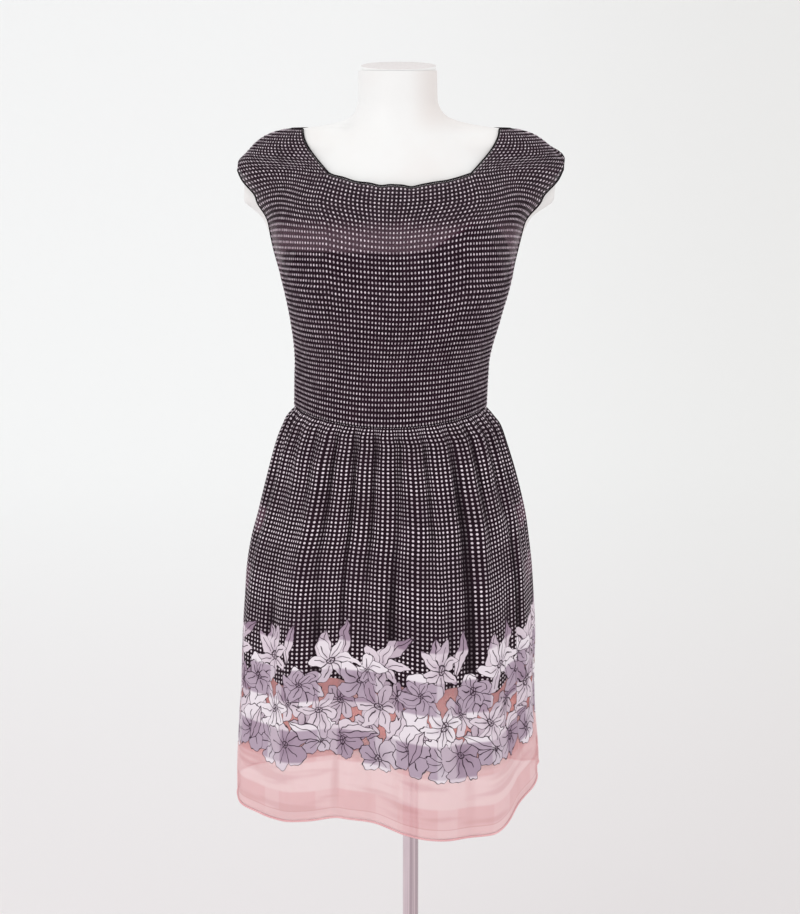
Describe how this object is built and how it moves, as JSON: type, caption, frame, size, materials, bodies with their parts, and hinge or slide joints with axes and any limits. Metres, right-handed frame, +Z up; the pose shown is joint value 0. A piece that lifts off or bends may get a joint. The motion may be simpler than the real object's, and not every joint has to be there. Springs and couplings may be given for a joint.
{
  "type": "sheer shirred cap-sleeve dress on a limbless dress form with a pole stand",
  "caption": "Knee-length dress with a shirred bodice, wide scoop neck, cap sleeves and a gathered skirt, on a limbless dress form that stands on a pole and a round base.",
  "frame": {"origin": "on the floor, at the centre of the base plate's underside, on the pole's axis", "axes": "+Z up along the pole; the front of the dress faces -Y; the wearer's left is at +X"},
  "size_m": [0.4465, 0.3303, 1.5063],
  "materials": {
    "form_body": "satin white moulded shell",
    "form_cap": "satin white disc",
    "pole": "polished",
    "fittings": "polished",
    "base": "polished",
    "bodice_cloth": "sheer dark crepe with pale dots, shirred in close rows",
    "lining_cloth": "plain dark lining",
    "skirt_cloth": "dark crepe with pale dots, a flower border and a sheer pink hem band",
    "edging": "narrow rolled dark edge"
  },
  "bodies": {
    "root": {"dress_form": "form_body", "neck_cap": "form_cap", "form_socket": "fittings", "pole": "pole", "base_collar": "fittings", "base_plate": "base", "bodice_front": "bodice_cloth", "bodice_back": "bodice_cloth", "lining_front": "lining_cloth", "lining_back": "lining_cloth", "skirt_front": "skirt_cloth", "skirt_back": "skirt_cloth", "neck_edge_front": "edging", "neck_edge_back": "edging", "armhole_edge_left": "edging", "armhole_edge_right": "edging"}
  },
  "joints": []
}
